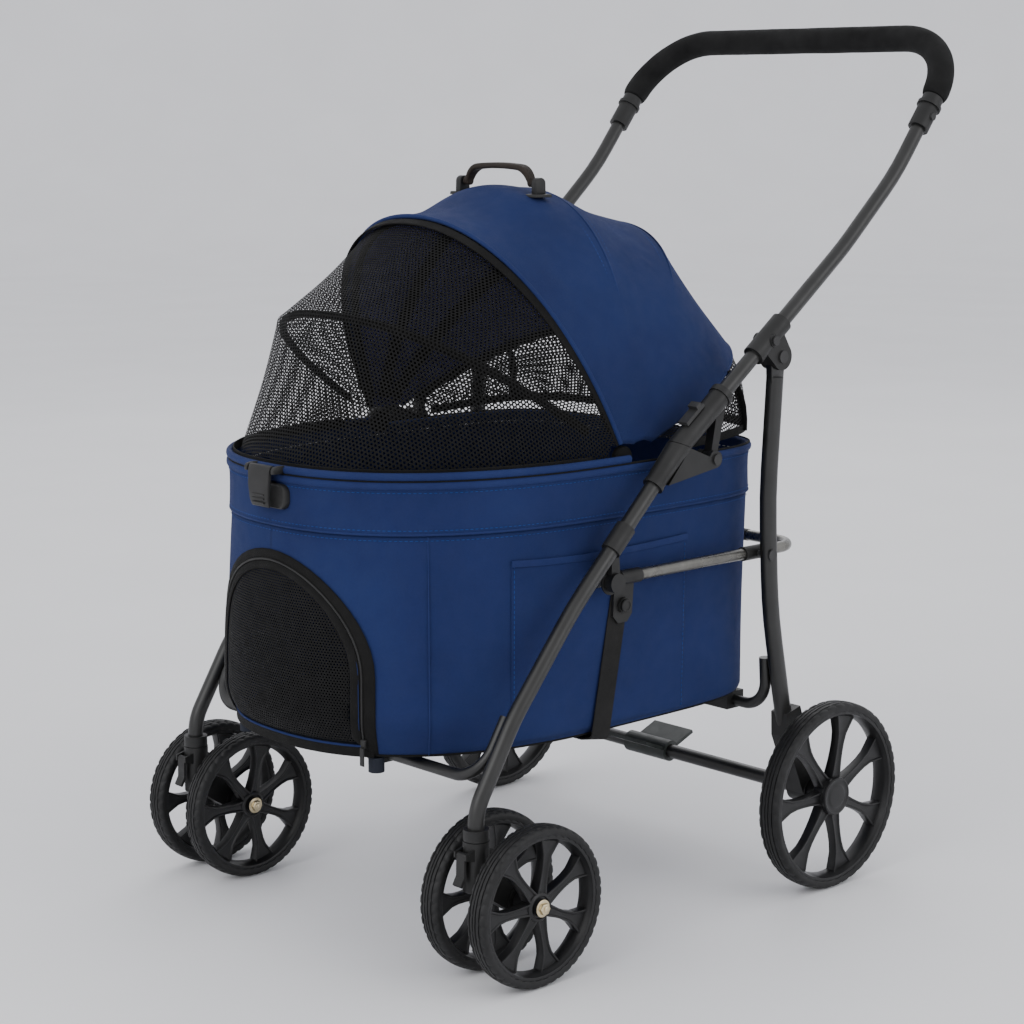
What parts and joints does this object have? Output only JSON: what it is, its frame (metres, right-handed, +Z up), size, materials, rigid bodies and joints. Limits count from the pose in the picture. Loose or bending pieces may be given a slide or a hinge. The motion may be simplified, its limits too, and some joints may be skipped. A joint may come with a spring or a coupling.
{
  "type": "pet stroller",
  "caption": "Folding pet stroller with a lift-off fabric carrier, net front and hood, twin-wheel swivel casters, large rear wheels, a foot brake and a hoop push handle.",
  "frame": {"origin": "on the floor, under the middle of the overall width and length", "axes": "-Y is the front, with the casters; +Y is the handle; +X is to the left of a person who pushes it; +Z is up"},
  "size_m": [0.55, 0.817, 0.9227],
  "materials": {
    "frame_steel": "satin olive-black powder coat",
    "bar_steel": "gunmetal plating, half gloss",
    "black_plastic": "moulded, satin",
    "pedal_plastic": "moulded grey-green, satin",
    "button_plastic": "moulded, satin",
    "zinc": "yellow zinc plating",
    "tyre": "matt foam rubber",
    "rim_plastic": "moulded, half gloss",
    "foam": "fine-celled black foam",
    "blue_cloth": "dark blue woven polyester",
    "black_mesh": "black open net",
    "black_binding": "black woven tape",
    "webbing": "black woven webbing",
    "handle_cloth": "dark webbing over foam",
    "board": "black fibreboard"
  },
  "bodies": {
    "rear_frame": {"rear_leg_left": "frame_steel", "rear_leg_right": "frame_steel", "rear_axle": "frame_steel", "axle_shoes": "black_plastic", "rear_cross_tube": "frame_steel", "rear_tube_clips": "black_plastic", "bar_pivot_pins": "frame_steel"},
    "brake": {"brake_pedal": "pedal_plastic"},
    "rear_wheel_left": {"rear_tyre_left": "tyre", "rear_rim_left": "rim_plastic"},
    "rear_wheel_right": {"rear_tyre_right": "tyre", "rear_rim_right": "rim_plastic"},
    "handle": {"handle_tube_left": "frame_steel", "handle_tube_right": "frame_steel", "handle_hoop": "frame_steel", "foam_grip": "foam", "hoop_collars": "black_plastic", "hub_casings": "black_plastic", "hub_rivets": "frame_steel", "knuckle_uppers": "black_plastic"},
    "front_frame": {"front_leg_left": "frame_steel", "front_leg_right": "frame_steel", "front_cross_tube": "frame_steel", "caster_collars": "black_plastic", "knuckle_sockets": "black_plastic", "knuckle_pins": "frame_steel", "front_brackets": "black_plastic"},
    "side_bar_frame": {"side_bar": "bar_steel", "bar_fittings": "black_plastic", "sling_strap": "webbing"},
    "carrier": {"basket": "blue_cloth", "base_board": "board", "buckle_base": "black_plastic", "hood": "blue_cloth", "hood_bows": "black_plastic", "rear_mesh": "black_mesh"},
    "door": {"front_door": "black_mesh"},
    "canopy_front": {"front_ring": "blue_cloth", "mesh_front": "black_mesh"},
    "middle_bow": {"mesh_bow": "black_binding"},
    "lever": {"buckle_lever": "black_plastic"},
    "top_handle": {"carry_handle": "handle_cloth"},
    "caster_left": {"caster_fork_left": "black_plastic", "caster_bolt_left": "zinc"},
    "swivel_lock_flap_left": {"swivel_lock_left": "black_plastic"},
    "front_wheel_left_outer": {"front_tyre_left_outer": "tyre", "front_rim_left_outer": "rim_plastic"},
    "front_wheel_left_inner": {"front_tyre_left_inner": "tyre", "front_rim_left_inner": "rim_plastic"},
    "button_left": {"hoop_button_left": "button_plastic"},
    "latch_left": {"fold_latch_left": "button_plastic"},
    "caster_right": {"caster_fork_right": "black_plastic", "caster_bolt_right": "zinc"},
    "swivel_lock_flap_right": {"swivel_lock_right": "black_plastic"},
    "front_wheel_right_outer": {"front_tyre_right_outer": "tyre", "front_rim_right_outer": "rim_plastic"},
    "front_wheel_right_inner": {"front_tyre_right_inner": "tyre", "front_rim_right_inner": "rim_plastic"},
    "button_right": {"hoop_button_right": "button_plastic"},
    "latch_right": {"fold_latch_right": "button_plastic"}
  },
  "joints": [
    {"name": "fold", "type": "hinge", "parent": "rear_frame", "child": "handle", "pos_m": [0, 0.08899, 0.578], "axis": [-1, 0, 0], "range_deg": [0, 115]},
    {"name": "front_frame_fold", "type": "hinge", "parent": "handle", "child": "front_frame", "pos_m": [0, -0.01051, 0.481], "axis": [1, 0, 0], "range_deg": [0, 136.5]},
    {"name": "side_bar_fold", "type": "hinge", "parent": "rear_frame", "child": "side_bar_frame", "pos_m": [0, 0.07949, 0.37], "axis": [-1, 0, 0], "range_deg": [0, 57.8]},
    {"name": "carrier_lift", "type": "slide", "parent": "rear_frame", "child": "carrier", "axis": [0, 0, 1], "range_m": [0, 0.6]},
    {"name": "brake_press", "type": "hinge", "parent": "rear_frame", "child": "brake", "pos_m": [0, 0.15049, 0.102], "axis": [1, 0, 0], "range_deg": [-12, 12]},
    {"name": "rear_wheel_spin_left", "type": "hinge", "parent": "rear_frame", "child": "rear_wheel_left", "pos_m": [-0.262, 0.15049, 0.102], "axis": [1, 0, 0], "continuous": true},
    {"name": "caster_swivel_left", "type": "hinge", "parent": "front_frame", "child": "caster_left", "pos_m": [-0.228, -0.33051, 0.15], "axis": [0, 0, 1], "continuous": true},
    {"name": "swivel_lock_turn_left", "type": "hinge", "parent": "caster_left", "child": "swivel_lock_flap_left", "pos_m": [-0.228, -0.34751, 0.136], "axis": [-1, 0, 0], "range_deg": [0, 35]},
    {"name": "front_wheel_spin_left_outer", "type": "hinge", "parent": "caster_left", "child": "front_wheel_left_outer", "pos_m": [-0.262, -0.28451, 0.08], "axis": [1, 0, 0], "continuous": true},
    {"name": "front_wheel_spin_left_inner", "type": "hinge", "parent": "caster_left", "child": "front_wheel_left_inner", "pos_m": [-0.194, -0.28451, 0.08], "axis": [1, 0, 0], "continuous": true},
    {"name": "hoop_button_press_left", "type": "slide", "parent": "handle", "child": "button_left", "axis": [1, 0, 0], "range_m": [0, 0.002], "stiffness_N_per_m": 400, "springref_m": -0.001},
    {"name": "fold_latch_slide_left", "type": "slide", "parent": "handle", "child": "latch_left", "axis": [0, 0.8001, 0.5999], "range_m": [0, 0.008], "stiffness_N_per_m": 200, "springref_m": -0.004},
    {"name": "rear_wheel_spin_right", "type": "hinge", "parent": "rear_frame", "child": "rear_wheel_right", "pos_m": [0.262, 0.15049, 0.102], "axis": [1, 0, 0], "continuous": true},
    {"name": "caster_swivel_right", "type": "hinge", "parent": "front_frame", "child": "caster_right", "pos_m": [0.228, -0.33051, 0.15], "axis": [0, 0, 1], "continuous": true},
    {"name": "swivel_lock_turn_right", "type": "hinge", "parent": "caster_right", "child": "swivel_lock_flap_right", "pos_m": [0.228, -0.34751, 0.136], "axis": [-1, 0, 0], "range_deg": [0, 35]},
    {"name": "front_wheel_spin_right_outer", "type": "hinge", "parent": "caster_right", "child": "front_wheel_right_outer", "pos_m": [0.262, -0.28451, 0.08], "axis": [1, 0, 0], "continuous": true},
    {"name": "front_wheel_spin_right_inner", "type": "hinge", "parent": "caster_right", "child": "front_wheel_right_inner", "pos_m": [0.194, -0.28451, 0.08], "axis": [1, 0, 0], "continuous": true},
    {"name": "hoop_button_press_right", "type": "slide", "parent": "handle", "child": "button_right", "axis": [-1, 0, 0], "range_m": [0, 0.002], "stiffness_N_per_m": 400, "springref_m": -0.001},
    {"name": "fold_latch_slide_right", "type": "slide", "parent": "handle", "child": "latch_right", "axis": [0, 0.8001, 0.5999], "range_m": [0, 0.008], "stiffness_N_per_m": 200, "springref_m": -0.004},
    {"name": "door_open", "type": "hinge", "parent": "carrier", "child": "door", "pos_m": [0, -0.39251, 0.22], "axis": [1, 0, 0], "range_deg": [0, 95]},
    {"name": "canopy_open", "type": "hinge", "parent": "carrier", "child": "canopy_front", "pos_m": [0, -0.09851, 0.4865], "axis": [-1, 0, 0], "range_deg": [0, 60], "deforming": ["mesh_front"]},
    {"name": "middle_bow_fold", "type": "hinge", "parent": "carrier", "child": "middle_bow", "pos_m": [0, -0.09851, 0.4865], "axis": [-1, 0, 0], "range_deg": [0, 27.5]},
    {"name": "buckle_open", "type": "hinge", "parent": "canopy_front", "child": "lever", "pos_m": [0, -0.40451, 0.4865], "axis": [-1, 0, 0], "range_deg": [0, 75]},
    {"name": "top_handle_swing", "type": "hinge", "parent": "carrier", "child": "top_handle", "pos_m": [0, -0.08951, 0.7555], "axis": [1, 0, 0], "range_deg": [-50, 50]}
  ],
  "couplings": [
    {"joint": "front_frame_fold", "follows": "fold", "ratio": 1.1864},
    {"joint": "side_bar_fold", "follows": "fold", "ratio": 0.5016},
    {"joint": "carrier_lift", "follows": "fold", "m_per_rad": 0.2985},
    {"joint": "middle_bow_fold", "follows": "canopy_open", "ratio": 0.45}
  ]
}
